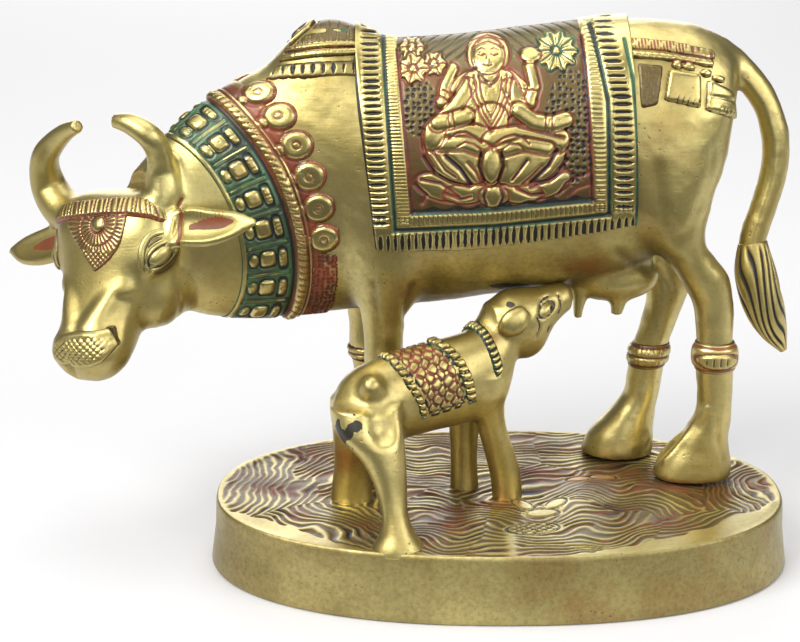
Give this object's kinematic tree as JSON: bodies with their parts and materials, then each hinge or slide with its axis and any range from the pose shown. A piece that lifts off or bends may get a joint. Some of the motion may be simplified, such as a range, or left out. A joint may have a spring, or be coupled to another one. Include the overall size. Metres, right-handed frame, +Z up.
{
  "type": "brass cow and calf statue",
  "caption": "Cast brass cow in saddle cloth and collars with her head turned, suckling a calf on an oval grooved base.",
  "frame": {"origin": "middle of the flat underside of the oval base", "axes": "+Z up, the long axis of the base and of the cow along X with her head towards -X, her near side with the calf towards -Y"},
  "size_m": [0.1902, 0.0836, 0.1304],
  "materials": {
    "brass_cow": "satin cast brass, pale greenish gold, with red, green and black wash in the carving",
    "brass_calf_and_base": "satin cast brass, dulled and pitted on the rim, with a red-brown wash and black grooves on the ground"
  },
  "bodies": {
    "root": {"cow": "brass_cow", "calf_and_base": "brass_calf_and_base"}
  },
  "joints": []
}
